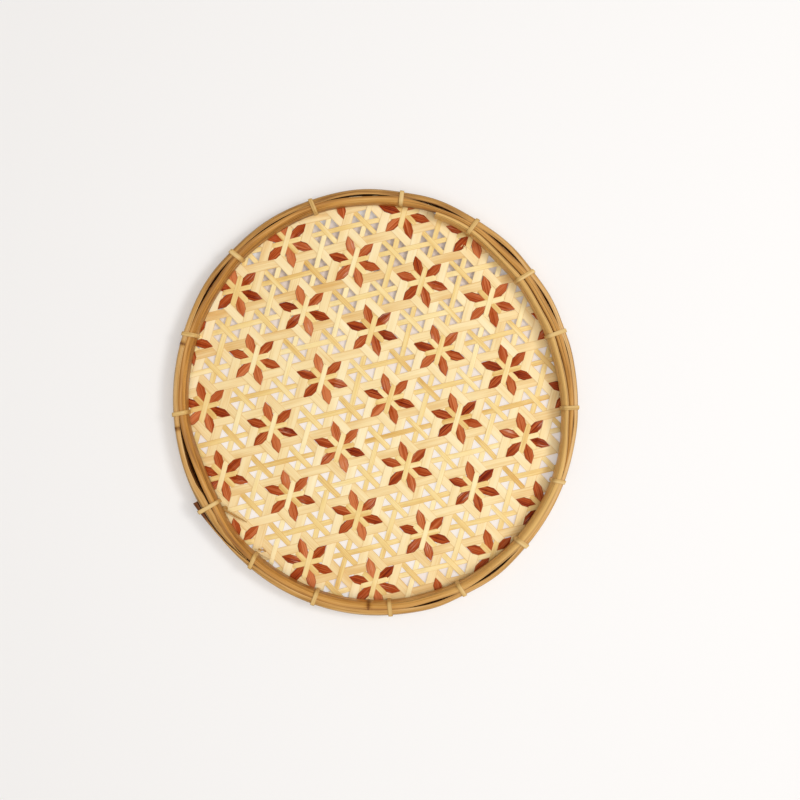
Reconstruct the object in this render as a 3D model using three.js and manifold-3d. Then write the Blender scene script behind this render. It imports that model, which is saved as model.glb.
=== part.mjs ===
// Woven wall plate: a shallow, slightly oval tray of split bamboo with a six-petal star weave.
// Millimetres, +Z up. It lies face up, with its origin at the middle of its underside.
import * as THREE from "three";
import { mergeVertices } from "three/addons/utils/BufferGeometryUtils.js";
import Module from "manifold-3d";

const wasm = await Module();
wasm.setup();

// Rim: two hoops, the turned-up ends of the mat between them, and the ties that hold them together.
const RIM_LONG = 300;
const RIM_SHORT = 285;
const RIM_LEAN = 7.5; // degrees from +Y to the longer way across, turning left
const RIM_HEIGHT = 20;
const OUTER_HOOP_THICK = 4.2;
const INNER_HOOP_THICK = 3.2;
const EDGE_THICK = 1;
const EDGE_SUNK = 1.6; // how far the trimmed ends stay below the hoops' top
const TIE_WIDTH = 3.1;
const TIE_THICK = 0.6;
const GAP = 0.3; // between pieces that touch on the real plate

// The hoops are long strips whose ends lie over each other. Angles in degrees, counterclockwise from +X.
const OUTER_HOOP_START = 230.5;
const OUTER_HOOP_LAP = 21.5;
const OUTER_START_THICK = 0.5; // the start is shaved thin
const OUTER_LAP_PUSH = 0.6; // share of the outer hoop's thickness that its lap pushes the rim inwards
const OUTER_HOOP_SLIM = 1.3; // how much thinner the outer hoop is where it is slimmest
const SLIM_MIDDLE = -12;
const SLIM_REACH = 80;
const INNER_HOOP_START = 72.2;
const INNER_HOOP_LAP = 92;
const INNER_LAP_SPREAD = 1.5; // room that the tail takes in the lap, as a share of its thickness
const INNER_SCARF_THICK = 0.9; // the hoop is pared away where its start comes to lie on it
const INNER_SCARF_BEFORE = 12; // degrees that the paring takes before the start
const INNER_SCARF_PAST = 32; // and past it
const INNER_TAIL_THICK = 0.8; // the tail is split thin towards its end
const INNER_TAIL_SPLIT = 50; // degrees past the start at which the tail begins to thin
const INNER_HOOP_EASE = 12; // degrees over which the inner hoop comes back out after its lap
const HOOP_STEP = 5;

const TIE_ANGLES = [
  -1.5, 20.8, 40.1, 60.9, 82.7, 107.7, 133.5, 160, 183.2, 212, 232.2, 252.7, 274, 294.7, 316.3, 336.8,
];

// Mat: three sets of strips, 60 degrees apart.
const MAT_FOOT = 0.5; // height at which the lowest strips run
const STRIP_THICK = 0.35;
const STAR_SPACING = 50;
const STAR_X = -2.4; // one star near the middle of the plate
const STAR_Y = 51.4;
const STRIP_ANGLE = 14;
const WIDE_WIDTH = 6.2;
const NARROW_WIDTH = 3.5;
const DYED_WIDTH = 6;
const NECK_SHARE = 0.38; // of the way between three wide strips that a dyed strip slips through
const SLIP = 0.2; // between strips that lie on each other
const SHORTEST_STRIP = 70;

const BAMBOO_PALE = 0xf3dcab;
const BAMBOO_YELLOW = 0xebc984;
const BAMBOO_DYED = 0xa8471f;
const BAMBOO_HOOP = 0xc48f4a;
const BAMBOO_TIE = 0xdfc182;

const STRIP_SETS = 3;
const SET_TURN = 180 / STRIP_SETS;
const LINE_SPACING = STAR_SPACING / 2;
const CROSSING_SPACING = LINE_SPACING / Math.sqrt(3);
const SLOT = EDGE_THICK + 2 * GAP;
const HOOP_FOOT = TIE_THICK + GAP;
const HOOP_TOP = RIM_HEIGHT - TIE_THICK - GAP;
const EDGE_INSET = OUTER_HOOP_THICK + GAP;

// Levels in the mat, from its own middle level. A wide strip rises over one crossing and dips under
// the next, far enough that the crossed strips also pass each other at the tips of the crossing. The
// dyed petals lie on the wide strips, the narrow strips under them, and the dyed strips' runs lowest.
const CROSSED_SHARE = (Math.sqrt(3) * WIDE_WIDTH) / CROSSING_SPACING;
const WIDE_RISE = (STRIP_THICK + SLIP / 2) / (2 - 2 * CROSSED_SHARE);
const WIDE_TILT = (2 * WIDE_RISE) / CROSSING_SPACING;
const NARROW_LEVEL = -WIDE_RISE - STRIP_THICK - SLIP;
const DYED_TOP = (WIDE_TILT * DYED_WIDTH) / 2 + STRIP_THICK + SLIP;
const DYED_LOW = NARROW_LEVEL - STRIP_THICK - SLIP;
const MAT_LEVEL = MAT_FOOT + 2 * STRIP_THICK - DYED_LOW;
const INNER_HOOP_FOOT = MAT_LEVEL + Math.max(DYED_TOP, WIDE_RISE) + STRIP_THICK + SLIP;

const radians = THREE.MathUtils.degToRad;
const ease = (x) => THREE.MathUtils.smoothstep(x, 0, 1);

// A point of the rim, so far in from the outer hoop's outer face, and the way outwards there.
function rimPoint(angle, inset) {
  const way = radians(angle - RIM_LEAN);
  const t = Math.atan2(RIM_SHORT * Math.sin(way), RIM_LONG * Math.cos(way));
  const across = new THREE.Vector2((RIM_SHORT / 2) * Math.cos(t), (RIM_LONG / 2) * Math.sin(t));
  const out = new THREE.Vector2(RIM_LONG * Math.cos(t), RIM_SHORT * Math.sin(t)).normalize();
  const turn = radians(RIM_LEAN);
  const origin = new THREE.Vector2();
  return {
    at: across.addScaledVector(out, -inset).rotateAround(origin, turn),
    out: out.rotateAround(origin, turn),
  };
}

// The outer hoop's shaved start lies inside its own tail and pushes the rest of the rim inwards there.
function outerHoopInset(turned) {
  if (turned > 360) return outerHoopInset(turned - 360) - EDGE_INSET;
  return EDGE_INSET * (1 - ease((turned - OUTER_HOOP_LAP / 3) / OUTER_HOOP_LAP));
}

const turnBetween = (a, b) => Math.abs(THREE.MathUtils.euclideanModulo(a - b + 180, 360) - 180);
const slimmedBy = (angle) => OUTER_HOOP_SLIM * (1 - ease(turnBetween(angle, SLIM_MIDDLE) / SLIM_REACH));

function outerHoopThickness(turned) {
  const grown = ease(turned / OUTER_HOOP_LAP);
  const full = OUTER_HOOP_THICK - slimmedBy(OUTER_HOOP_START - turned);
  return OUTER_START_THICK + (full - OUTER_START_THICK) * grown;
}

// How far the rest of the rim lies inwards at the outer hoop's lap, or outwards where that hoop is slim.
function pushedIn(angle) {
  const away = turnBetween(angle, OUTER_HOOP_START - 0.84 * OUTER_HOOP_LAP);
  const lapped = 1 - ease((away / OUTER_HOOP_LAP - 0.3) / 1.1);
  return OUTER_LAP_PUSH * OUTER_HOOP_THICK * lapped - slimmedBy(angle);
}

// The inner hoop is pared where it meets its own start, and thins again towards the end of its tail.
function innerHoopThickness(turned) {
  const past = turned - 360;
  const whole = ease(past < 0 ? -past / INNER_SCARF_BEFORE : past / INNER_SCARF_PAST);
  const split = ease((past - INNER_TAIL_SPLIT) / (INNER_HOOP_LAP - INNER_TAIL_SPLIT));
  const pared = INNER_SCARF_THICK + (INNER_HOOP_THICK - INNER_SCARF_THICK) * whole;
  return pared + (INNER_TAIL_THICK - INNER_HOOP_THICK) * split;
}

// The inner hoop starts on the inside of its own tail and comes out to the mat's edge past the lap.
function innerHoopInset(turned) {
  const inside = 1 - ease((turned - INNER_HOOP_LAP) / INNER_HOOP_EASE);
  const layer = turned < 360 ? INNER_LAP_SPREAD * innerHoopThickness(turned + 360) : 0;
  return OUTER_HOOP_THICK + SLOT + pushedIn(INNER_HOOP_START - turned) + layer * inside;
}

// How far the outer hoop's tail stands out of the rim beside a tie.
function tailStandsOut(angle) {
  const turned = THREE.MathUtils.euclideanModulo(OUTER_HOOP_START - angle, 360);
  const tieReach = THREE.MathUtils.radToDeg((TIE_WIDTH + 2 * GAP) / RIM_SHORT);
  if (turned - tieReach > OUTER_HOOP_LAP) return 0;
  return EDGE_INSET - outerHoopInset(turned);
}

function rimInnerFace(angle) {
  const turned = THREE.MathUtils.euclideanModulo(INNER_HOOP_START - angle, 360);
  return innerHoopInset(turned) + innerHoopThickness(turned);
}

// A closed line round the rim, an even distance in from the pushed-in line.
function rimLoop(inset) {
  const points = [];
  for (let angle = 0; angle < 360; angle += HOOP_STEP) {
    points.push(rimPoint(angle, inset + pushedIn(angle)).at);
  }
  return points;
}

function upright(shape, foot, top) {
  const geometry = new THREE.ExtrudeGeometry(shape, { depth: top - foot, bevelEnabled: false });
  return geometry.translate(0, 0, foot);
}

// A hoop in plan, wound clockwise: along its outer face from end to end, and back along its inner face.
function hoopShape(start, lap, insetAt, thicknessAt) {
  const outer = [];
  const inner = [];
  const steps = Math.round((360 + lap) / HOOP_STEP);
  for (let i = 0; i <= steps; i += 1) {
    const turned = ((360 + lap) * i) / steps;
    const angle = start - turned;
    const inset = insetAt(turned);
    outer.push(rimPoint(angle, inset).at);
    inner.push(rimPoint(angle, inset + thicknessAt(turned)).at);
  }
  return new THREE.Shape([...outer, ...inner.reverse()]);
}

function outerHoop() {
  const shape = hoopShape(OUTER_HOOP_START, OUTER_HOOP_LAP, outerHoopInset, outerHoopThickness);
  return upright(shape, HOOP_FOOT, HOOP_TOP);
}

function innerHoop() {
  const shape = hoopShape(INNER_HOOP_START, INNER_HOOP_LAP, innerHoopInset, innerHoopThickness);
  return upright(shape, INNER_HOOP_FOOT, HOOP_TOP);
}

// A tie is a flat strip closed round the whole rim: x outwards, z up, its width along the rim.
function tieBox(angle, grow) {
  const low = HOOP_FOOT - GAP - grow;
  const high = HOOP_TOP + GAP + grow;
  const inner = -rimInnerFace(angle) - GAP - grow;
  const outer = tailStandsOut(angle) + GAP + grow;
  return [
    new THREE.Vector2(inner, low),
    new THREE.Vector2(outer, low),
    new THREE.Vector2(outer, high),
    new THREE.Vector2(inner, high),
  ];
}

function tie(angle) {
  const shape = new THREE.Shape(tieBox(angle, TIE_THICK));
  shape.holes.push(new THREE.Path(tieBox(angle, 0)));
  const geometry = new THREE.ExtrudeGeometry(shape, { depth: TIE_WIDTH, bevelEnabled: false });
  return geometry.rotateX(Math.PI / 2).translate(0, TIE_WIDTH / 2, 0);
}

// The notch left open in the mat for a tie's inner run.
function tieNotch(angle) {
  const reachIn = rimInnerFace(angle) + TIE_THICK + 2 * GAP;
  const notch = new THREE.BoxGeometry(reachIn, TIE_WIDTH + 2 * GAP, 2 * RIM_HEIGHT);
  return notch.translate(-reachIn / 2, 0, 0);
}

function placeOnRim(object, angle) {
  const { at, out } = rimPoint(angle, 0);
  object.position.set(at.x, at.y, 0);
  object.rotation.z = out.angle();
  return object;
}

function toSolid(geometry) {
  const bare = geometry.clone();
  bare.deleteAttribute("normal");
  bare.deleteAttribute("uv");
  const merged = mergeVertices(bare);
  const vertProperties = merged.attributes.position.array;
  const triVerts = new Uint32Array(merged.index.array);
  return new wasm.Manifold(new wasm.Mesh({ numProp: 3, vertProperties, triVerts }));
}

function toGeometry(solid) {
  const mesh = solid.getMesh();
  const geometry = new THREE.BufferGeometry();
  geometry.setAttribute("position", new THREE.BufferAttribute(mesh.vertProperties, 3));
  geometry.setIndex(new THREE.BufferAttribute(mesh.triVerts, 1));
  geometry.computeVertexNormals();
  return geometry;
}

// Joins solids into one, and takes out the seams that are left in its flat faces.
const joined = (solids) => solids.reduce((whole, piece) => whole.add(piece)).asOriginal().simplify();

function largestBody(solid) {
  const bodies = solid.decompose();
  return bodies.reduce((best, body) => (body.volume() > best.volume() ? body : best));
}

// Bends a straight bar, one unit long and two wide, so that it passes the given stations: how far
// along, half its width there, and its height there.
function bent(bar, stations) {
  const last = stations.length - 1;
  const position = bar.attributes.position;
  for (let i = 0; i < position.count; i += 1) {
    const { along, half, rise } = stations[Math.round((position.getX(i) + 0.5) * last)];
    position.setXYZ(i, along, half * position.getY(i), rise + position.getZ(i));
  }
  return bar;
}

const flatStrip = (stations) =>
  bent(new THREE.BoxGeometry(1, 2, STRIP_THICK, stations.length - 1, 1, 1), stations);

// A strip with a ridge along its middle.
function ridgedStrip(stations) {
  const radius = 2 / Math.sqrt(3);
  const bar = new THREE.CylinderGeometry(radius, radius, 1, 3, stations.length - 1);
  bar.rotateZ(-Math.PI / 2).scale(1, 1, STRIP_THICK / (1.5 * radius));
  return bent(bar, stations);
}

// Lays a ribbon in the mat, at an angle and so far to the left of the reference star.
function laid(geometry, angle, offset) {
  geometry.translate(0, offset, MAT_LEVEL).rotateZ(radians(angle));
  return geometry.translate(STAR_X, STAR_Y, 0);
}

// Length of the straight line through the mat at that angle and offset.
function chord(angle, offset) {
  const lean = radians(angle - RIM_LEAN);
  const aside = radians(angle);
  const fromMiddle = offset - STAR_X * Math.sin(aside) + STAR_Y * Math.cos(aside);
  const inset = OUTER_HOOP_THICK + SLOT;
  const a = RIM_SHORT / 2 - inset;
  const b = RIM_LONG / 2 - inset;
  const reach = Math.hypot(a * Math.sin(lean), b * Math.cos(lean));
  const share = 1 - (fromMiddle / reach) ** 2;
  return share > 0 ? (2 * a * b * Math.sqrt(share)) / reach : 0;
}

// The offsets of all lines of a set that are long enough to hold a strip.
function lineOffsets(angle, spacing, shift) {
  const found = [];
  const most = Math.ceil(RIM_LONG / spacing);
  for (let i = -most; i <= most; i += 1) {
    const offset = (i + shift) * spacing;
    if (chord(angle, offset) > SHORTEST_STRIP) found.push({ index: i, offset });
  }
  return found;
}

// Wide strips of set k pass over those of the next set and under those of the set before.
function wideStrip(angle, line) {
  const stations = [];
  const most = Math.ceil(RIM_LONG / CROSSING_SPACING);
  for (let i = -most; i <= most; i += 1) {
    const rise = i % 2 === 0 ? WIDE_RISE : -WIDE_RISE;
    const along = (line.index - 0.5 + i) * CROSSING_SPACING;
    stations.push({ along, half: WIDE_WIDTH / 2, rise });
  }
  return laid(flatStrip(stations), angle, line.offset);
}

function narrowStrip(angle, line) {
  const half = NARROW_WIDTH / 2;
  const ends = [-RIM_LONG, RIM_LONG];
  const stations = ends.map((along) => ({ along, half, rise: NARROW_LEVEL }));
  return laid(flatStrip(stations), angle, line.offset);
}

// A dyed strip's run from one star's middle towards the next, half the way there. It comes up between
// two narrow strips, crosses a wide strip as a petal, and dives under the next two.
function petalStations() {
  const opens = Math.tan(radians(SET_TURN / 2));
  const petal = DYED_WIDTH / 2;
  const innerTip = NARROW_WIDTH;
  const outerTip = STAR_SPACING / 2 - WIDE_WIDTH;
  const nearEdge = STAR_SPACING / 4 - WIDE_WIDTH / 2;
  const farEdge = nearEdge + WIDE_WIDTH;
  const neck = NECK_SHARE * (outerTip - farEdge) * opens;
  const up = Math.min(innerTip + petal / opens, nearEdge - SLIP);
  const dive = outerTip - neck / opens;
  const underWide = -STRIP_THICK - SLIP - WIDE_TILT * (neck / opens - neck);
  const shoulder = outerTip - (petal + SLIP) / opens;
  const lip = farEdge + SLIP;
  return [
    { along: innerTip + (neck + SLIP) / opens, half: neck, rise: DYED_LOW },
    { along: up, half: (up - innerTip) * opens, rise: DYED_TOP },
    { along: shoulder, half: petal, rise: DYED_TOP },
    { along: lip, half: (outerTip - lip) * opens - SLIP, rise: DYED_TOP - SLIP / 2 },
    { along: dive, half: neck, rise: underWide },
    { along: STAR_SPACING / 2 - NARROW_WIDTH / 2 - SLIP, half: neck, rise: DYED_LOW },
  ];
}

function dyedStrip(angle, line) {
  const outward = petalStations();
  const inward = [...outward].reverse();
  const most = Math.ceil(RIM_LONG / STAR_SPACING);
  const stations = [];
  for (let i = -most; i <= most; i += 1) {
    const star = (i + line.index / 2) * STAR_SPACING;
    inward.forEach((s) => stations.push({ ...s, along: star - s.along }));
    outward.forEach((s) => stations.push({ ...s, along: star + s.along }));
  }
  return laid(ridgedStrip(stations), angle, line.offset);
}

const group = new THREE.Group();

function addPiece(name, geometry, color, roughness) {
  const material = new THREE.MeshStandardMaterial({ color, roughness, metalness: 0 });
  const mesh = new THREE.Mesh(geometry, material);
  mesh.name = name;
  group.add(mesh);
  return mesh;
}

const numbered = (name, i) => `${name}_${String(i + 1).padStart(2, "0")}`;

addPiece("outer_hoop", outerHoop(), BAMBOO_HOOP, 0.5);
addPiece("inner_hoop", innerHoop(), BAMBOO_HOOP, 0.5);
TIE_ANGLES.forEach((angle, i) => {
  placeOnRim(addPiece(numbered("rim_tie", i), tie(angle), BAMBOO_TIE, 0.6), angle);
});

const edgeShape = new THREE.Shape(rimLoop(EDGE_INSET));
edgeShape.holes.push(new THREE.Path(rimLoop(EDGE_INSET + EDGE_THICK)));
addPiece("mat_edge", upright(edgeShape, HOOP_FOOT, HOOP_TOP - EDGE_SUNK), BAMBOO_PALE, 0.6);

// The mat is trimmed round inside its own turned-up edge, and gives way to the ties.
const matShape = new THREE.Shape(rimLoop(EDGE_INSET + EDGE_THICK + GAP));
const tieNotches = TIE_ANGLES.map((angle) => {
  const place = placeOnRim(new THREE.Object3D(), angle);
  place.updateMatrix();
  return toSolid(tieNotch(angle).applyMatrix4(place.matrix));
});
const matRoom = toSolid(upright(matShape, MAT_FOOT, INNER_HOOP_FOOT)).subtract(joined(tieNotches));
const trimmed = (solid) => toGeometry(largestBody(solid.intersect(matRoom)));

const narrowNet = [];
const dyedNet = [];
for (let set = 0; set < STRIP_SETS; set += 1) {
  const angle = STRIP_ANGLE + SET_TURN * set;
  lineOffsets(angle, LINE_SPACING, 0.5).forEach((line, i) => {
    const strip = trimmed(toSolid(wideStrip(angle, line)));
    addPiece(numbered(`wide_strip_${"abc"[set]}`, i), strip, BAMBOO_PALE, 0.55);
  });
  lineOffsets(angle, LINE_SPACING, 0).forEach((line) => {
    narrowNet.push(toSolid(narrowStrip(angle, line)));
  });
  const across = angle - 90;
  lineOffsets(across, STAR_SPACING * Math.sin(radians(SET_TURN)), 0).forEach((line) => {
    dyedNet.push(toSolid(dyedStrip(across, line)));
  });
}
addPiece("narrow_strip_net", trimmed(joined(narrowNet)), BAMBOO_YELLOW, 0.55);
addPiece("dyed_strip_net", trimmed(joined(dyedNet)), BAMBOO_DYED, 0.5);

export default group;
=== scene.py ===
import math
import random

import bpy
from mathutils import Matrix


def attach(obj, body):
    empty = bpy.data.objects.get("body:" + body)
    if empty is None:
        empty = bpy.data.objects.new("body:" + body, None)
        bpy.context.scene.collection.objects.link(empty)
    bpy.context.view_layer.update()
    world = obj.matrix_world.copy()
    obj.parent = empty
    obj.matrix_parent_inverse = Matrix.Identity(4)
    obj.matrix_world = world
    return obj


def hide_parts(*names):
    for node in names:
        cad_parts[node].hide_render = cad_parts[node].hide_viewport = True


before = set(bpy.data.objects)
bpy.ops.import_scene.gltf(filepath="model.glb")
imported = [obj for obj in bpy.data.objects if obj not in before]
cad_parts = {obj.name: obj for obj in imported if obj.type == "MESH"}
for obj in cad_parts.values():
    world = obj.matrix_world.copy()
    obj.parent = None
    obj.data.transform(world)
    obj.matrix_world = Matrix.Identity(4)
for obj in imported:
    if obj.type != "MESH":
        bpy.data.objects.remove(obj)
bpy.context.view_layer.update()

SEED = 41
MM = 0.001

# Sizes are in millimetres. Angles are in degrees, anticlockwise from the plate's right side.

# The rim is an oval that leans a little.
RIM_LONG = 300
RIM_SHORT = 285
RIM_LEAN = 7.5
RIM_HEIGHT = 20.0

# Both hoops: their heights, mesh steps and slight waves (size and number round the rim), the way round
# their section, and their knots.
HOOP_FOOT = 0.9
HOOP_TOP = 19.1
HOOP_STEPS = 600
HOOP_WAVES = [(0.25, 3), (0.15, 11)]
SECTION_RUN = 46
KNOT_REACH = 0.6
KNOT_SWELL = 0.5
KNOT_TONE = 0.4

# The outer hoop, slimmer on the right, whose lap at the lower left pushes the inner hoop in.
OUTER_THICK = 4.2
OUTER_START = 230.5
OUTER_LAP = 21.5
OUTER_KNOTS = [163, 187.5]
OUTER_SLIM = 1.3
SLIM_MIDDLE = -12
SLIM_REACH = 80
TAIL_EASE = 5
PUSH = 3.5
PUSH_MIDDLE = 206
PUSH_FLAT = 2
PUSH_BEFORE = 24
PUSH_AFTER = 17

# The inner hoop, which goes round once and a quarter and is pared where it begins to lap.
INNER_FOOT = 3.5
INNER_THICK = 3.2
INNER_START = 72.2
INNER_LAP = 92
INNER_KNOTS = [268]
INNER_LAP_SPREAD = 1.5
INNER_LAP_SLIT = 0.4
INNER_SCARF_THICK = 0.9
INNER_SCARF_BEFORE = 12
INNER_SCARF_PAST = 32
INNER_TAIL_THICK = 0.8
INNER_TAIL_SPLIT = 50
INNER_EASE = 14
INNER_EASE_PAST = 6
INNER_SQUARED = 0.75

# Between the hoops: the slot for the mat's edge, how the strips turn up in it, and how the two hoops
# share the gaps that open from tie to tie.
SLOT = 1.6
CLOSED_SLOT = -0.05
GAP = 0.3
EDGE_INSET = OUTER_THICK + GAP
EDGE_CLEAR = 0.15
EDGE_TOUCH = 0.1
EDGE_TOP = 14
EDGE_BEND = 1.5
EDGE_PRESSED = 0.45
EDGE_STEP = 0.5
OPEN_SHARE = 0.5
OPEN_INSIDE_SHARE = 0.3

# Each tie: its angle, the width of its cane, how far it slants between the rim's two sides, how far
# the hoops stand apart between this tie and the next, and at which share of the way they do so most.
TIES = [
    (-1.5, 3.0, -0.6, 0.6, 0.75),
    (20.8, 3.0, 0.0, 1.4, 0.5),
    (40.1, 3.1, 1.7, 1.5, 0.45),
    (60.9, 3.1, 1.0, 1.8, 0.55),
    (82.7, 3.1, -0.5, 1.7, 0.45),
    (107.7, 3.1, -0.8, 1.0, 0.5),
    (133.5, 3.5, -1.0, 1.8, 0.4),
    (160, 3.0, -1.5, 0.0, 0.5),
    (183.2, 3.0, -1.4, 0.3, 0.6),
    (212, 2.9, 0.0, 0.1, 0.6),
    (232.2, 3.1, -3.0, 0.1, 0.5),
    (252.7, 3.1, 0.2, 0.1, 0.5),
    (274, 3.1, -0.5, 1.6, 0.6),
    (294.7, 3.1, -1.0, 1.8, 0.5),
    (316.3, 3.5, -1.0, 0.0, 0.5),
    (336.8, 2.9, -1.4, 0.5, 0.8),
]

# The ties' canes and their loose ends. A run is the length that the finish is spread over.
TIE_THICK = 0.55
TIE_COLUMNS = 6
TIE_BEND_STEPS = 5
TIE_STAND = 0.8
TIE_CROWN = 0.22
TIE_RUN = 70
TIE_TONE_SPREAD = 0.1
END_STEPS = 10
END_COLUMNS = 2
END_THICK = 0.4
END_CROWN = 0.12
END_RUN = 40
END_TAPER = 0.6

# The outer hoop's start, inside its own tail: degrees from its thin end, and the insets of its two faces.
START_OUTSIDE = [(0, 3.4), (3, 2.6), (8.5, 1.3), (12.5, 0.65), (16.5, 0.4), (21.5, 0)]
START_INSIDE = [(0, 3.9), (3, 3.6), (8.5, 4.4), (12.5, 5.2), (16.5, 6.4)]
START_INSIDE += [(21.5, 6.4), (27, 4.8), (32, 4.2)]

# The weave. Stars stand at STAR and whole numbers of the two steps from it.
STAR = (-2.755, 51.486)
STEP_A = (48.232, -14.169)
STEP_B = (12.544, -48.834)
MAT_LEVEL = 1.35
MAT_SWELL = 3.6
MAT_SWELL_FROM = 5
MAT_SWELL_OVER = 120
MAT_CLEAR = 0.6

# A line that crosses less of the mat than the shortest carries no strip. Its ends at the rim are found
# by halving.
SHORTEST = 70
LINES_EACH_WAY = 14
FARTHEST = 190
HALVINGS = 24

# The strips: half widths, then columns and step length of their meshes, and how much single ones vary.
STRIP_THICK = 0.26
STRIP_CROWN = 0.1
STRIP_TRIM = 3.5
STRIP_DRIFT = 0.25
SWAY_PHASES = (0, 6.28)
SWAY_SIZES = (0.1, 0.4)
SWAY_LENGTH = 17
WIDE_HALF = 3.15
WIDE_MESH = (4, 2.2)
WIDE_RISE = 0.15
WIDE_WIDTHS = (0.96, 1.04)
# The sets differ in tone partly as their bamboo does and partly as painted light and shade, for how
# strips of each direction catch the light from the right; the spread between single strips is their own.
WIDE_TONES = {"a": 0.1, "b": -0.1, "c": -0.02}
WIDE_TONE_SPREAD = 0.1
NARROW_HALF = 1.88
NARROW_MESH = (2, 1.4)
NARROW_REPEAT = 86.6
NARROW_WIDTHS = (0.93, 1.07)
# As with the wide strips, the sets' tones are partly painted light and shade.
NARROW_TONES = {"a": 0.02, "b": -0.15, "c": -0.02}
NARROW_TONE_SPREAD = 0.18
DYED_HALF = 3.15
DYED_MESH = (4, 0.8)
DYED_REPEAT = 50
DYED_WIDTHS = (0.97, 1.03)
# The paler set a is painted sheen; the sets' tones are also partly the dye's own.
DYED_TONES = {"a": -0.17, "b": 0.02, "c": -0.03}
DYED_TONE_SPREAD = 0.1

# One dyed strip ends under the others, this much shorter than the rest, at the lower left.
DYED_SHORT = {("b", 1): 41}

# The camera and the floor, in metres apart from the sensor. The picture's side is as it is at the height
# of the rim.
PHOTO_SIDE = 0.5608
CAMERA_AT = (0.0173, 0.0018, 0.870)
SENSOR_MM = 36
FLOOR_SIDE = 6

random.seed(SEED)


def linear(hexed):
    """A hex colour as the eye sees it, in the light values that shaders use."""
    channels = [int(hexed[i : i + 2], 16) / 255 for i in (1, 3, 5)]
    return [c / 12.92 if c <= 0.04045 else ((c + 0.055) / 1.055) ** 2.4 for c in channels] + [1]


def add(tree, kind, inputs=None, **settings):
    """Add a node with its settings; an input is a value or another node's output."""
    node = tree.nodes.new(kind)
    for name, value in settings.items():
        setattr(node, name, value)
    for socket, value in (inputs or {}).items():
        if isinstance(value, bpy.types.NodeSocket):
            tree.links.new(value, node.inputs[socket])
        else:
            node.inputs[socket].default_value = value
    return node


def ease(x):
    x = min(max(x, 0), 1)
    return x * x * (3 - 2 * x)


def rises(at, start, over):
    """From 0 at the start to 1 at the end of a stretch."""
    return ease((at - start) / over)


def falls(at, start, over):
    return 1 - rises(at, start, over)


def profile(stops, at):
    """A value along a piece, eased from stop to stop."""
    for (a, low), (b, high) in zip(stops, stops[1:]):
        if at <= b:
            return low + (high - low) * ease((at - a) / (b - a))
    return stops[-1][1]


def turn_between(a, b):
    return abs((a - b + 180) % 360 - 180)


# The rim's lines, as insets from the oval through the outer hoop's outer face.


def rim_point(angle, inset):
    way = math.radians(angle - RIM_LEAN)
    t = math.atan2(RIM_SHORT * math.sin(way), RIM_LONG * math.cos(way))
    turn = math.radians(RIM_LEAN)
    x, y = RIM_SHORT / 2 * math.cos(t), RIM_LONG / 2 * math.sin(t)
    out_x, out_y = RIM_LONG * math.cos(t), RIM_SHORT * math.sin(t)
    scale = inset / math.hypot(out_x, out_y)
    x, y = x - out_x * scale, y - out_y * scale
    return x * math.cos(turn) - y * math.sin(turn), x * math.sin(turn) + y * math.cos(turn)


def rim_place(x, y):
    """The angle of a point on the plate and its inset from the rim's outer face."""
    turn = math.radians(RIM_LEAN)
    across = x * math.cos(turn) + y * math.sin(turn)
    along = y * math.cos(turn) - x * math.sin(turn)
    t = math.atan2(along / RIM_LONG, across / RIM_SHORT)
    reach = math.hypot(RIM_SHORT / 2 * math.cos(t), RIM_LONG / 2 * math.sin(t))
    return math.degrees(math.atan2(along, across)) + RIM_LEAN, reach - math.hypot(across, along)


def slimmed_by(angle):
    return OUTER_SLIM * falls(turn_between(angle, SLIM_MIDDLE), 0, SLIM_REACH)


def pushed_in(angle):
    """How far the inner hoop and the mat's edge give way to the outer hoop's lap."""
    past = (angle - PUSH_MIDDLE + 180) % 360 - 180
    share = falls(abs(past), PUSH_FLAT, PUSH_AFTER if past > 0 else PUSH_BEFORE)
    return PUSH * share - slimmed_by(angle)


def opened(angle):
    """How far the hoops stand apart between their ties."""
    for (tie, _, _, apart, widest), (following, *_) in zip(TIES, TIES[1:] + TIES[:1]):
        past = (angle - tie) % 360 / ((following - tie) % 360)
        if past < 1:
            return apart * math.sin(math.pi * past ** (math.log(0.5) / math.log(widest))) ** 2
    return 0


def mat_level(y):
    """The mat lies near the underside and swells up towards the top of the plate."""
    return MAT_LEVEL + MAT_SWELL * rises(y, MAT_SWELL_FROM, MAT_SWELL_OVER)


def outer_foot(y):
    return HOOP_FOOT


def inner_foot(y):
    """The inner hoop stands on the mat where the mat swells up, and a little above it elsewhere."""
    return max(INNER_FOOT, mat_level(y) + MAT_CLEAR)


def edge_inset(angle):
    """The line on which the mat's strips turn up between the hoops."""
    return OUTER_THICK + EDGE_CLEAR + pushed_in(angle)


def tail_stands_out(past):
    """How far the outer hoop's tail stands outside the rim, by the degrees past the hoop's start."""
    return EDGE_INSET * rises(past, OUTER_LAP / 3, OUTER_LAP)


def outer_faces(turned, high):
    """The outer hoop's outer and inner faces.

    It stands out at its top, and its foot stays on the mat's edge.
    """
    angle = OUTER_START - turned
    outer, inner = 0, OUTER_THICK - slimmed_by(angle)
    if turned < START_INSIDE[-1][0]:
        outer, inner = profile(START_OUTSIDE, turned), profile(START_INSIDE, turned)
    if turned > 360 - TAIL_EASE:
        past = turned - 360
        outer = -tail_stands_out(past)
        laid = profile(START_OUTSIDE, past) - EDGE_TOUCH
        inner += (laid - inner) * rises(past, -TAIL_EASE, TAIL_EASE)
    else:
        inner += max(edge_inset(angle) - EDGE_TOUCH - inner, 0) * (1 - high)
    stand = OPEN_SHARE * opened(angle) * high
    return outer - stand, inner - stand


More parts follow.
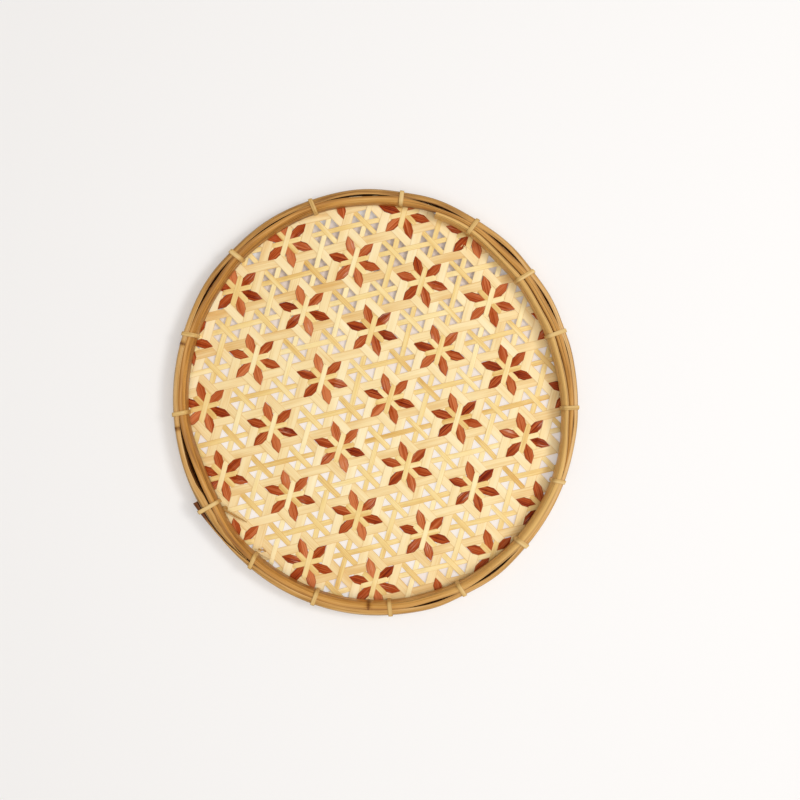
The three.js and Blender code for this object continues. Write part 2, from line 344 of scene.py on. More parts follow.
def inner_thickness(turned):
    past = turned - 360
    whole = ease(-past / INNER_SCARF_BEFORE if past < 0 else past / INNER_SCARF_PAST)
    split = rises(past, INNER_TAIL_SPLIT, INNER_LAP - INNER_TAIL_SPLIT)
    pared = INNER_SCARF_THICK + (INNER_THICK - INNER_SCARF_THICK) * whole
    return pared + (INNER_TAIL_THICK - INNER_THICK) * split


def lapped(turned):
    """The share of the inner hoop's tail that still lies between its start and the mat's edge."""
    return falls(turned, INNER_LAP - INNER_EASE, INNER_EASE + INNER_EASE_PAST)


def rim_inner_face(angle):
    turned = (INNER_START - angle) % 360
    tail = INNER_LAP_SPREAD * inner_thickness(turned + 360) * lapped(turned)
    slack = OPEN_INSIDE_SHARE * opened(angle)
    return OUTER_THICK + SLOT + pushed_in(angle) + tail + inner_thickness(turned) + slack


def inner_faces(turned, high):
    """The inner hoop's outer and inner faces.

    Its start lies inside its tail, and the rest on the mat's edge.
    """
    angle = INNER_START - turned
    line = OUTER_THICK + CLOSED_SLOT + pushed_in(angle) + OPEN_SHARE * opened(angle) * high
    if turned >= 360:
        return line, line + (SLOT - CLOSED_SLOT + inner_thickness(turned)) * lapped(turned - 360)
    tail = inner_thickness(turned + 360)
    slit = (INNER_LAP_SPREAD - 1) * tail * INNER_LAP_SLIT
    return line + lapped(turned) * (SLOT + tail + slit), rim_inner_face(angle)


# Making of pieces.


def settle(piece, name, nodes, finish):
    """Name a finished piece, give it its finish and put it on the plate."""
    piece.name = name
    piece.data.name = name
    piece.data.materials.clear()
    piece.data.materials.append(finish)
    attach(piece, "root")
    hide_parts(*nodes)


def grid(steps, columns):
    """A flat unit grid to be shaped, and for each vertex its share along and across."""
    bpy.ops.object.select_all(action="DESELECT")
    bpy.ops.mesh.primitive_grid_add(x_subdivisions=steps, y_subdivisions=columns, size=1)
    piece = bpy.context.object
    shares = [(v.co.x + 0.5, v.co.y + 0.5) for v in piece.data.vertices]
    return piece, shares


def lay(piece, places, spread, sides, tones):
    """Move each vertex to its place in millimetres and keep what the finishes read.

    That is where it lies on the strip, its tone, and one number that the strip has to itself.
    """
    mesh = piece.data
    for vertex, (x, y, z) in zip(mesh.vertices, places):
        vertex.co = (x * MM, y * MM, z * MM)
    for loop, uv in zip(mesh.loops, mesh.uv_layers.active.data):
        along, across = spread[loop.vertex_index]
        uv.uv = (along * MM, across * MM)
    for name, values in (("side", sides), ("tone", tones), ("own", [tones[0]] * len(tones))):
        kept = mesh.attributes.new(name, "FLOAT", "POINT")
        for i, value in enumerate(values):
            kept.data[i].value = value


def thicken(piece, thickness):
    """Give a sheet its thickness downwards from its upper face."""
    wall = piece.modifiers.new("wall", "SOLIDIFY")
    wall.thickness = thickness * MM
    wall.offset = -1
    bpy.context.view_layer.objects.active = piece
    bpy.ops.object.modifier_apply(modifier="wall")


def smooth(piece, angle):
    bpy.ops.object.select_all(action="DESELECT")
    piece.select_set(True)
    bpy.context.view_layer.objects.active = piece
    bpy.ops.object.shade_smooth_by_angle(angle=math.radians(angle))


def close_tube(piece, cap):
    """Merge a rolled-up grid's seam, close its ends and turn its faces outwards."""
    bpy.context.view_layer.objects.active = piece
    bpy.ops.object.mode_set(mode="EDIT")
    bpy.ops.mesh.select_all(action="SELECT")
    bpy.ops.mesh.remove_doubles(threshold=1e-6)
    if cap:
        bpy.ops.mesh.select_all(action="SELECT")
        bpy.ops.mesh.fill_holes(sides=0)
    bpy.ops.mesh.select_all(action="SELECT")
    bpy.ops.mesh.normals_make_consistent(inside=False)
    bpy.ops.object.mode_set(mode="OBJECT")


# Finishes. One cell of each pattern, in millimetres along the strip and across it.
FIBRE = (35.714, 0.66667)
PATCH = (38.462, 5.2632)
# Cells of the pale streaks on the dyed strips, which are painted sheen.
SHEEN_FIBRE = (11.111, 0.52632)
SHEEN_SPOT = (18.182, 18.182)
CRACK = (142.86, 2.381)
FIBRE_HEIGHT = 0.12

# How far apart single strips lie in the patterns, and how far the colours reach from the middle one.
OWN_PLACE = 93.0
OWN_SHEEN = 71.0
COLOUR_REACH = 0.3


def per_metre(cell):
    """Cells to the metre, along and across."""
    return 1 / (cell[0] * MM), 1 / (cell[1] * MM), 1


def split_bamboo(name, pale, middle, deep, edges, roughness, gloss, fibre_share, patch_share):
    """Split bamboo: long parallel fibres that vary in colour, with softer patches.

    The eye sees fine lengthwise streaks, and edges that are darker or greyer than the face. On the mat's
    strips and the ties' canes the darker edges are painted shade along each edge; on the hoops the edge
    colour greys or browns their outer sides. Real fibre bundles are 0.3 mm wide, which is under half a
    pixel in the render, so they are drawn about 0.7 mm wide.
    """
    finish = bpy.data.materials.new(name)
    finish.use_nodes = True
    tree = finish.node_tree
    shader = tree.nodes["Principled BSDF"]
    place = add(tree, "ShaderNodeUVMap", uv_map="UVMap")
    tone = add(tree, "ShaderNodeAttribute", attribute_name="tone")
    own = add(tree, "ShaderNodeAttribute", attribute_name="own")
    strip = add(tree, "ShaderNodeMath", {0: own.outputs["Fac"], 1: OWN_PLACE}, operation="MULTIPLY")
    along = add(
        tree,
        "ShaderNodeMapping",
        {"Vector": place.outputs["UV"], "Scale": per_metre(FIBRE)},
    )
    fibres = add(
        tree,
        "ShaderNodeTexNoise",
        {"Vector": along.outputs["Vector"], "W": strip.outputs[0], "Scale": 1.0, "Detail": 3.0},
        noise_dimensions="4D",
    )
    broad = add(
        tree,
        "ShaderNodeMapping",
        {"Vector": place.outputs["UV"], "Scale": per_metre(PATCH)},
    )
    patches = add(
        tree,
        "ShaderNodeTexNoise",
        {"Vector": broad.outputs["Vector"], "W": strip.outputs[0], "Scale": 1.0, "Detail": 2.0},
        noise_dimensions="4D",
    )
    streaks = add(
        tree,
        "ShaderNodeMath",
        {0: fibres.outputs["Fac"], 1: fibre_share, 2: tone.outputs["Fac"]},
        operation="MULTIPLY_ADD",
    )
    shade = add(
        tree,
        "ShaderNodeMath",
        {0: patches.outputs["Fac"], 1: patch_share, 2: streaks.outputs[0]},
        operation="MULTIPLY_ADD",
    )
    colours = add(tree, "ShaderNodeValToRGB", {"Fac": shade.outputs[0]})
    usual = (fibre_share + patch_share) / 2
    colours.color_ramp.elements[0].position = usual - COLOUR_REACH
    colours.color_ramp.elements[0].color = linear(pale)
    colours.color_ramp.elements[1].position = usual + COLOUR_REACH
    colours.color_ramp.elements[1].color = linear(deep)
    colours.color_ramp.elements.new(usual).color = linear(middle)
    side = add(tree, "ShaderNodeAttribute", attribute_name="side")
    out = add(tree, "ShaderNodeMath", {0: side.outputs["Fac"]}, operation="ABSOLUTE")
    edge = add(
        tree,
        "ShaderNodeMapRange",
        {"Value": out.outputs[0], "From Min": 0.78, "From Max": 1.0, "To Max": 0.55},
        interpolation_type="SMOOTHSTEP",
    )
    # The edge colour: painted shade along the edges of strips and canes; on the hoops, the colour of
    # their outer sides.
    worn = add(
        tree,
        "ShaderNodeMix",
        {0: edge.outputs["Result"], 6: colours.outputs["Color"], 7: linear(edges)},
        data_type="RGBA",
    )
    tree.links.new(worn.outputs[2], shader.inputs["Base Color"])
    bump = add(
        tree,
        "ShaderNodeBump",
        {"Height": fibres.outputs["Fac"], "Strength": 0.35, "Distance": FIBRE_HEIGHT * MM},
    )
    tree.links.new(bump.outputs["Normal"], shader.inputs["Normal"])
    rough = add(
        tree,
        "ShaderNodeMapRange",
        {"Value": fibres.outputs["Fac"], "To Min": roughness - 0.1, "To Max": roughness + 0.12},
    )
    tree.links.new(rough.outputs["Result"], shader.inputs["Roughness"])
    shader.inputs["IOR"].default_value = 1.5
    shader.inputs["Specular IOR Level"].default_value = gloss
    return finish


def paint_sheen(finish):
    """Painted sheen: in places paler streaks show along the fibres, glints of light painted into the
    colour.

    They are some tenths of a millimetre wide on the real strips and drawn coarser here.
    """
    tree = finish.node_tree
    shader = tree.nodes["Principled BSDF"]
    plain = shader.inputs["Base Color"].links[0].from_socket
    place = add(tree, "ShaderNodeUVMap", uv_map="UVMap")
    own = add(tree, "ShaderNodeAttribute", attribute_name="own")
    strip = add(tree, "ShaderNodeMath", {0: own.outputs["Fac"], 1: OWN_SHEEN}, operation="MULTIPLY")
    thin = add(
        tree,
        "ShaderNodeMapping",
        {"Vector": place.outputs["UV"], "Scale": per_metre(SHEEN_FIBRE)},
    )
    fibre = add(
        tree,
        "ShaderNodeTexNoise",
        {"Vector": thin.outputs["Vector"], "W": strip.outputs[0], "Scale": 1.0, "Detail": 2.0},
        noise_dimensions="4D",
    )
    spots = add(
        tree,
        "ShaderNodeTexNoise",
        {
            "Vector": place.outputs["UV"],
            "W": strip.outputs[0],
            "Scale": per_metre(SHEEN_SPOT)[0],
            "Detail": 1.0,
        },
        noise_dimensions="4D",
    )
    worn_fibre = add(
        tree,
        "ShaderNodeMapRange",
        {"Value": fibre.outputs["Fac"], "From Min": 0.52, "From Max": 0.68, "To Max": 0.85},
    )
    worn_spot = add(
        tree,
        "ShaderNodeMapRange",
        {"Value": spots.outputs["Fac"], "From Min": 0.54, "From Max": 0.68},
    )
    sheen_mask = add(
        tree,
        "ShaderNodeMath",
        {0: worn_fibre.outputs["Result"], 1: worn_spot.outputs["Result"]},
        operation="MULTIPLY",
    )
    # Painted sheen: the pale streaks mixed into the dyed colour.
    sheened = add(
        tree,
        "ShaderNodeMix",
        {0: sheen_mask.outputs[0], 6: plain, 7: linear("#e2b49a")},
        data_type="RGBA",
    )
    tree.links.new(sheened.outputs[2], shader.inputs["Base Color"])


def crack(finish):
    """Drying cracks: dark lines about 0.5 mm wide and some centimetres long.

    They are the crests of a pattern with larger cells.
    """
    tree = finish.node_tree
    shader = tree.nodes["Principled BSDF"]
    plain = shader.inputs["Base Color"].links[0].from_socket
    place = add(tree, "ShaderNodeUVMap", uv_map="UVMap")
    long = add(
        tree,
        "ShaderNodeMapping",
        {"Vector": place.outputs["UV"], "Scale": per_metre(CRACK)},
    )
    lines = add(
        tree,
        "ShaderNodeTexNoise",
        {"Vector": long.outputs["Vector"], "Scale": 1.0, "Detail": 1.0},
    )
    depth = add(
        tree,
        "ShaderNodeMapRange",
        {"Value": lines.outputs["Fac"], "From Min": 0.61, "From Max": 0.67, "To Max": 0.7},
    )
    cracked = add(
        tree,
        "ShaderNodeMix",
        {0: depth.outputs["Result"], 6: plain, 7: linear("#4a2a10")},
        data_type="RGBA",
    )
    tree.links.new(cracked.outputs[2], shader.inputs["Base Color"])


# Bamboo scraped of its skin: pale cream and nearly matt, with faint grain, and tan edges that are painted
# shade.
PALE = split_bamboo(
    "scraped_bamboo_pale", "#fbebc0", "#f3d9a0", "#dcae64", "#cf9f57", 0.55, 0.35, 0.38, 0.6
)

# Bamboo with its skin on: yellower and smoother, with plainer streaks, and darker edges that are painted
# shade.
YELLOW = split_bamboo(
    "skin_bamboo_yellow", "#f9e6b0", "#eecf86", "#d5a34c", "#c08c3c", 0.48, 0.35, 0.55, 0.6
)

# Bamboo dyed red: from orange-brown to dark red along its fibres, dull, with darker edges that are
# painted shade, and pale streaks in places that are painted sheen.
DYED = split_bamboo(
    "dyed_bamboo_red", "#d07a48", "#a64414", "#6d1a06", "#64260a", 0.4, 0.05, 1.0, 0.6
)
paint_sheen(DYED)

# Split cane of the ties: straw-coloured, with darker edges that are painted shade.
CANE = split_bamboo("tie_cane", "#e9cc94", "#d8b26e", "#ab7d3c", "#966a30", 0.45, 0.2, 0.6, 0.5)

# The outer hoop's bamboo: tan to brown, greyed where it is handled and weathered, with cracks.
OUTER = split_bamboo(
    "hoop_bamboo_weathered", "#e3bd86", "#cb9852", "#6a3a18", "#b3a286", 0.42, 0.14, 0.66, 0.7
)
crack(OUTER)

# The inner hoop's bamboo: golden with brown edges, and cracks.
INNER = split_bamboo(
    "hoop_bamboo_golden", "#e2b66e", "#c88f46", "#7a4818", "#84501c", 0.4, 0.14, 0.66, 0.7
)
crack(INNER)


# The hoops: split bars bent round the rim, rounded on the side that has the skin.


# A hoop's section, from the foot of its skin side over the top to the foot of its split side: share of
# the thickness and share of the height. The outer hoop has its skin outside, the inner hoop inside.
SPLIT_SIDE = [(0.93, 1.0), (1.0, 0.997), (1.0, 0.95), (1.0, 0.5), (1.0, 0.03), (0.95, 0.0)]
OUTER_SECTION = [(0.05, 0.0), (0.0, 0.05), (0.0, 0.5), (0.0, 0.8), (0.02, 0.86), (0.07, 0.91)]
OUTER_SECTION += [(0.16, 0.95), (0.3, 0.98), (0.5, 0.997), (0.75, 1.0)] + SPLIT_SIDE
INNER_SECTION = [(0.05, 0.0), (0.0, 0.05), (0.0, 0.4), (0.0, 0.55), (0.02, 0.66), (0.06, 0.75)]
INNER_SECTION += [(0.13, 0.83), (0.24, 0.9), (0.4, 0.955), (0.6, 0.99), (0.8, 1.0)] + SPLIT_SIDE
INNER_SECTION = [(1 - deep, high) for deep, high in INNER_SECTION]


def waves(angle, size, turns):
    return size * math.sin(math.radians(angle * turns))


def hoop(name, start, lap, faces_at, foot_at, section, squared_at, knots, tone_at, finish):
    """A bar bent round the rim between its two faces; its outer side takes the finish's edge colour."""
    piece, shares = grid(HOOP_STEPS, len(section))
    places, spread, sides, tones = [], [], [], []
    length = math.pi * (RIM_LONG + RIM_SHORT) / 2
    for along, across in shares:
        turned = (360 + lap) * along
        angle = start - turned
        deep, high = section[round(across * len(section)) % len(section)]
        if high > 0.5:
            high += (1 - high) * squared_at(turned)
        outer, inner = faces_at(turned, high)
        knot = sum(math.exp(-((turn_between(angle, at) / KNOT_REACH) ** 2)) for at in knots)
        wave = sum(waves(angle, size, turns) for size, turns in HOOP_WAVES) * rises(high, 0.4, 0.4)
        x, y = rim_point(angle, outer + (inner - outer) * deep + knot * KNOT_SWELL * (deep - 0.5))
        foot = foot_at(y)
        places.append((x, y, foot + (HOOP_TOP - foot) * high + wave))
        spread.append((turned / 360 * length, across * SECTION_RUN))
        tones.append(tone_at(turned, deep, high) + KNOT_TONE * knot)
        weather = 0.93 + 0.07 * waves(angle, 1, 5) * waves(angle, 1, 13)
        exposed = falls(deep, 0.1, 0.8) * (0.85 + 0.15 * rises(high, 0.7, 0.2))
        sides.append(exposed * weather * falls(tones[-1], 0.2, 0.25))
    lay(piece, places, spread, sides, tones)
    close_tube(piece, True)
    smooth(piece, 40)
    settle(piece, f"{name}_bent", [name], finish)


# The hoops' tones, higher where the bamboo is darker and where shade is painted. Each change has the
# place where it begins and the
# stretch it takes: in degrees from the hoop's start, or in shares of its thickness or height.


def outer_tone(turned, deep, high):
    """Painted shade on the cut tail and where the hoops stand apart. Deeper at the top, and on the right
    paler on top and deeper on the outer skin: painted light and shade for how light falls across the rim.
    Paler at the lower left.
    """
    # Painted shade: the cut tail's end and the shaded line along it.
    cut_tail = falls(360 + OUTER_LAP - turned, 1, 9)
    # Painted shade inside the gap between the hoops, below their top.
    inside = rises(deep, 0.9, 0.1) * falls(high, 0.95, 0.04)
    # Painted light and shade for how light falls across the rim: deeper at the top.
    top = rises(turned, 65, 25) * falls(turned, 160, 30)
    lower_left = rises(turned, 10, 15) * falls(turned, 75, 20)
    # Painted light and shade on the right: deeper on the outer skin, paler on top.
    right = rises(turned, 180, 25) * falls(turned, 255, 25)
    right_edge, right_face = right * falls(deep, 0, 0.35), right * rises(deep, 0.2, 0.3)
    deeper = 0.5 * cut_tail + 0.4 * inside + 0.1 * top + 0.16 * right_edge
    return deeper - 0.16 * right_face - 0.08 * lower_left


def inner_tone(turned, deep, high):
    """Pale along the start, and paler still on the right and deeper on the left, which is painted light
    and shade for how light falls across the rim; painted shade at the foot and inside the gaps.
    """
    start = falls(turned, 115, 50)
    # Painted light and shade for how light falls across the rim: paler on the right, deeper on the left.
    right = rises(turned, 28, 20) * falls(turned, 108, 22)
    left = rises(turned, 165, 40) * falls(turned, 320, 25)
    # Painted shade inside the gap between the hoops and at the foot of the wall.
    inside = falls(deep, 0, 0.1) * falls(high, 0.95, 0.04)
    foot = falls(high, 0.3, 0.3) * (1 - 2 * start)
    return 0.1 * foot + 0.12 * left + 0.45 * inside - 0.05 - 0.2 * start - 0.2 * right


def rounded(turned):
    return 0


def squared_tail(turned):
    """The inner hoop's tail is squarer at its top than the rest."""
    return INNER_SQUARED * rises(turned, 350, 10)


hoop(
    "outer_hoop",
    OUTER_START,
    OUTER_LAP,
    outer_faces,
    outer_foot,
    OUTER_SECTION,
    rounded,
    OUTER_KNOTS,
    outer_tone,
    OUTER,
)
hoop(
    "inner_hoop",
    INNER_START,
    INNER_LAP,
    inner_faces,
    inner_foot,
    INNER_SECTION,
    squared_tail,
    INNER_KNOTS,
    inner_tone,
    INNER,
)


# The ties: flat canes round both hoops.


def tie_path(outside, inside):
    """Points round the rim: how far in, how high, and the way out of the loop there.

    The cane bends gently over the hoops' rounded tops and sharply under their feet. Each corner has its
    inset and height, the angle at which its bend begins, and the bend's reach in and up.
    """
    corners = [(inside, RIM_HEIGHT, 0, -3.4, -5.0), (outside, RIM_HEIGHT, 90, 1.8, -2.2)]
    corners += [(outside, 0.0, 180, 1.3, 1.3), (inside, 0.0, 270, -1.3, 1.3)]
    path = []
    for inset, height, turn, bend_in, bend_up in corners:
        for part in range(TIE_BEND_STEPS + 1):
            a = math.radians(turn + part * 90 / TIE_BEND_STEPS)
            way_in, way_up = math.cos(a) * abs(bend_up), math.sin(a) * abs(bend_in)
            size = math.hypot(way_in, way_up)
            at_in = inset + bend_in + abs(bend_in) * math.cos(a)
            at_up = height + bend_up + abs(bend_up) * math.sin(a)
            path.append((at_in, at_up, way_in / size, way_up / size))
    return path


def rim_tie(number, angle, width, slant):
    inside = rim_inner_face(angle) + TIE_STAND
    past = (OUTER_START - angle) % 360
    outside = -TIE_STAND - (tail_stands_out(past) if past < OUTER_LAP else 0)
    path = tie_path(outside, inside)
    piece, shares = grid(len(path), TIE_COLUMNS)
    places, spread, tones = [], [], []
    tone = random.uniform(-TIE_TONE_SPREAD, TIE_TONE_SPREAD)
    for along, across in shares:
        inset, height, way_in, way_up = path[round(along * len(path)) % len(path)]
        side = 2 * across - 1
        sunk = TIE_CROWN * side * side
        inset, height = inset - way_in * sunk, height - way_up * sunk
        lean = slant * ((inset - outside) / (inside - outside) - 0.5)
        x, y = rim_point(angle, inset)
        t = math.radians(angle)
        step = side * width / 2 + lean
        places.append((x - math.sin(t) * step, y + math.cos(t) * step, max(height, 0)))
        spread.append((along * TIE_RUN, side * width / 2))
        tones.append(tone)
    lay(piece, places, spread, [2 * across - 1 for _, across in shares], tones)
    close_tube(piece, False)
    thicken(piece, TIE_THICK)
    smooth(piece, 50)
    node = f"rim_tie_{number:02d}"
    settle(piece, f"{node}_cane", [node], CANE)


for number, (angle, width, slant, _, _) in enumerate(TIES, 1):
    rim_tie(number, angle, width, slant)


# Loose ends of ties: a sliver of cane that makes a small loop and lies on the mat, three frayed fibres
# at another tie, and a dark knot and a pale sliver at a third. Each has its tie's node, a width, a tone
# and a line of points.
LOOSE_ENDS = [
    (
        "rim_tie_10",
        1.5,
        0.3,
        [
            (-113.4, -70.6, 8.0),
            (-112.0, -72.6, 5.4),
            (-109.6, -75.2, 4.6),
            (-108.6, -76.9, 4.6),
            (-107.0, -77.2, 4.7),
            (-106.2, -75.8, 4.9),
            (-107.0, -74.5, 5.2),
            (-108.6, -74.9, 5.4),
            (-107.6, -76.6, 5.4),
            (-103.5, -79.0, 4.8),
            (-97.5, -82.4, 4.5),
            (-92.0, -85.4, 4.2),
        ],
    ),
    (
        "rim_tie_04",
        0.5,
        -0.2,
        [(63.2, 111.9, 6.5), (62.4, 109.4, 5.0), (61.2, 106.6, 4.4), (61.4, 103.4, 4.2)],
    ),
    (
        "rim_tie_04",
        0.45,
        -0.2,
        [(64.6, 111.2, 6.0), (64.9, 108.6, 4.9), (65.8, 105.6, 4.4), (67.6, 103.6, 4.2)],
    ),
    (
        "rim_tie_04",
        0.45,
        -0.2,
        [(62.0, 112.4, 6.0), (60.0, 110.6, 4.9), (57.8, 109.9, 4.5), (55.2, 107.6, 4.2)],
    ),
    (
        "rim_tie_11",
        1.1,
        0.9,
        [(-83.4, -104.3, 6.0), (-81.9, -105.3, 5.0), (-80.4, -105.2, 4.7), (-78.4, -106.6, 4.5)],
    ),
    (
        "rim_tie_11",
        0.9,
        -0.3,
        [(-82.6, -107.0, 6.0), (-80.4, -108.6, 5.2), (-77.4, -110.2, 4.8), (-74.4, -111.4, 4.6)],
    ),
]


def curved(points, share):
    """A smooth line through points."""
    last = len(points) - 1
    at = share * last
    i = min(int(at), last - 1)
    t = at - i
    around = points[max(i - 1, 0)], points[i], points[i + 1], points[min(i + 2, last)]
    return [
        b + 0.5 * t * (c - a + t * (2 * a - 5 * b + 4 * c - d + t * (3 * (b - c) + d - a)))
        for a, b, c, d in zip(*around)
    ]


def loose_end(name, node, width, tone, points):
    piece, shares = grid(END_STEPS * len(points), END_COLUMNS)
    places, spread, tones = [], [], []
    for along, across in shares:
        here = curved(points, along)
        back, on = curved(points, max(along - 0.004, 0)), curved(points, min(along + 0.004, 1))
        way = math.hypot(on[0] - back[0], on[1] - back[1])
        side = 2 * across - 1
        step = side * width / 2 * (1 - END_TAPER * rises(along, 0.85, 0.15))
        x = here[0] - (on[1] - back[1]) / way * step
        y = here[1] + (on[0] - back[0]) / way * step
        places.append((x, y, here[2] + END_CROWN * (1 - side * side)))
        spread.append((along * END_RUN, step))
        tones.append(tone)
    lay(piece, places, spread, [2 * across - 1 for _, across in shares], tones)
    thicken(piece, END_THICK)
    smooth(piece, 50)
    settle(piece, name, [node], CANE)


for number, (node, width, tone, points) in enumerate(LOOSE_ENDS, 1):
    loose_end(f"{node}_loose_end_{number}", node, width, tone, points)


# The mat: strips of three kinds, each with its own way over and under the others.


def mixed(*parts):
    """Add up steps of the weave: pairs of a share and a step."""
    return sum(s * v[0] for s, v in parts), sum(s * v[1] for s, v in parts)


# Each set of strips: its letter; for wide and narrow strips the way along them to the same crossing
# again and the step to the next line; and the same two for dyed strips.
ACROSS = mixed((1, STEP_A), (-1, STEP_B))
BACK_A = mixed((-1, STEP_A))
BACK_B = mixed((-1, STEP_B))
SETS = [
    ("a", mixed((2, STEP_A), (-1, STEP_B)), ACROSS, STEP_B, STEP_A),
    ("b", mixed((1, STEP_A), (-2, STEP_B)), BACK_B, STEP_A, ACROSS),
    ("c", mixed((-1, STEP_A), (-1, STEP_B)), BACK_A, ACROSS, BACK_B),
]


def wide_height(repeat, at):
    """Over every second crossing and under the others, six crossings to a repeat."""
    crossing = at / (repeat / 6)
    before = math.floor(crossing)
    rise = WIDE_RISE * (1 - 2 * rises(crossing - before, 0.3, 0.4))
    return rise if before % 2 == 0 else -rise


# Heights of narrow and dyed strips, by the millimetres from the middle of a star, and the dyed strips'
# share of their width, which draws each petal to a point.


def narrow_stops(letter):
    star = {"a": 0.35, "b": 0.62, "c": 0.08}[letter]
    open_middle = {"a": 0.0, "b": -0.27, "c": 0.27}[letter]
    between = {"a": 0.47, "b": 0.47, "c": -0.47}[letter]
    half = [(0, star), (3.5, 0.26), (7.2, 0.24), (9.3, 0.42), (9.8, 0.36), (11.0, -0.42)]
    half += [(14.43, -0.46), (19.2, -0.44), (24, open_middle), (33, open_middle)]
    return half + [(38.2, 0.96 * between), (43.3, between)]


def dyed_stops(letter):
    star = {"a": -0.2, "b": -0.46, "c": -0.72}[letter]
    petal = [(0, star), (4.5, -0.14), (7.6, -0.16), (9.7, 0.38), (15, 0.4), (18.2, 0.34)]
    return petal + [(19.3, -0.3), (20.2, -0.55), (21.5, -0.65), (25, -0.85)]


PETAL_WIDTHS = [(0, 1), (13.9, 1), (19.0, 0.03), (19.6, 0.03), (21.2, 1), (25, 1)]


def from_star(at, repeat, nominal):
    """How far a place along a strip is from the nearest star, in the stops' own scale."""
    return abs((at + repeat / 2) % repeat - repeat / 2) * nominal / repeat


def petal_width(repeat, at):
    at = from_star(at, repeat, DYED_REPEAT)
    for (a, low), (b, high) in zip(PETAL_WIDTHS, PETAL_WIDTHS[1:]):
        if at <= b:
            return low + (high - low) * (at - a) / (b - a)
    return 1


def even_width(at):
    return 1


def reach(origin, way, middle, sign, inset_at):
    """How far a line runs from its middle before it passes the line round the rim."""
    near, far = 0, FARTHEST
    for _ in range(HALVINGS):
        half = (near + far) / 2
        at = middle + sign * half
        angle, inset = rim_place(origin[0] + way[0] * at, origin[1] + way[1] * at)
        if inset > inset_at(angle):
            near = half
        else:
            far = half
    return near


def turned_up(x, y, height):
    """Lay a point of a strip on the mat, or up between the hoops where it passes the mat's edge."""
    angle, inset = rim_place(x, y)
    level = mat_level(y)
    line = edge_inset(angle)
    quarter = EDGE_BEND * math.pi / 2
    past = line + quarter - EDGE_BEND - inset
    if past <= 0:
        return x, y, level + height
    bend = min(past / EDGE_BEND, math.pi / 2)
    up = EDGE_BEND * (1 - math.cos(bend)) + max(past - quarter, 0)
    out = EDGE_BEND * math.sin(bend)
    pressed = height * (1 - EDGE_PRESSED * bend / (math.pi / 2))
    back = line + quarter - EDGE_BEND - out + (EDGE_STEP + pressed) * math.sin(bend)
    x, y = rim_point(angle, back)
    return x, y, min(level + pressed * math.cos(bend) + up, EDGE_TOP)


def strip(origin, way, half_width, columns, step, height_at, width_at, tone, short=0):
    """One strip across the mat: its upper face on the line's heights, its ends turned up at the rim."""
    normal = (-way[1], way[0])
    middle = -(origin[0] * way[0] + origin[1] * way[1])
    lift = [EDGE_TOP - MAT_LEVEL - random.uniform(0.0, STRIP_TRIM) for _ in range(2)]
    drift = random.gauss(0, STRIP_DRIFT)
    sway = random.uniform(*SWAY_PHASES)
    sway_size = random.uniform(*SWAY_SIZES)
    ends = []
    for column in range(columns + 1):
        aside = (2 * column / columns - 1) * half_width
        start = (origin[0] + normal[0] * aside, origin[1] + normal[1] * aside)
        low = reach(start, way, middle, -1, lambda angle: edge_inset(angle) - lift[0])
        high = reach(start, way, middle, 1, lambda angle: edge_inset(angle) - lift[1])
        ends.append((middle - low + short, middle + high))
    length = max(high - low for low, high in ends)
    piece, shares = grid(max(8, round(length / step)), columns)
    places, spread, tones = [], [], []
    for along, across in shares:
        low, high = ends[round(across * columns)]
        at = low + (high - low) * along
        side = 2 * across - 1
        wander = drift + sway_size * math.sin(at / SWAY_LENGTH + sway)
        aside = side * half_width * width_at(at) + wander
        crown = STRIP_CROWN * (1 - side * side)
        x = origin[0] + way[0] * at + normal[0] * aside
        y = origin[1] + way[1] * at + normal[1] * aside
        places.append(turned_up(x, y, height_at(at) + crown))
        spread.append((at, side * half_width))
        tones.append(tone)
    lay(piece, places, spread, [2 * across - 1 for _, across in shares], tones)
    thicken(piece, STRIP_THICK)
    smooth(piece, 35)
    return piece


def lines(first, step, way, share):
    """Origins of a set's lines that cross enough of the mat, in order."""
    inner = OUTER_THICK + SLOT
    kept = []
    for n in range(-LINES_EACH_WAY, LINES_EACH_WAY + 1):
        origin = (first[0] + step[0] * (n + share), first[1] + step[1] * (n + share))
        middle = -(origin[0] * way[0] + origin[1] * way[1])
        _, inset = rim_place(origin[0] + way[0] * middle, origin[1] + way[1] * middle)
        if inset < inner:
            continue
        spans = [reach(origin, way, middle, sign, lambda angle: inner) for sign in (-1, 1)]
        if sum(spans) > SHORTEST:
            kept.append(origin)
    return kept


def unit(vector):
    size = math.hypot(*vector)
    return (vector[0] / size, vector[1] / size), size


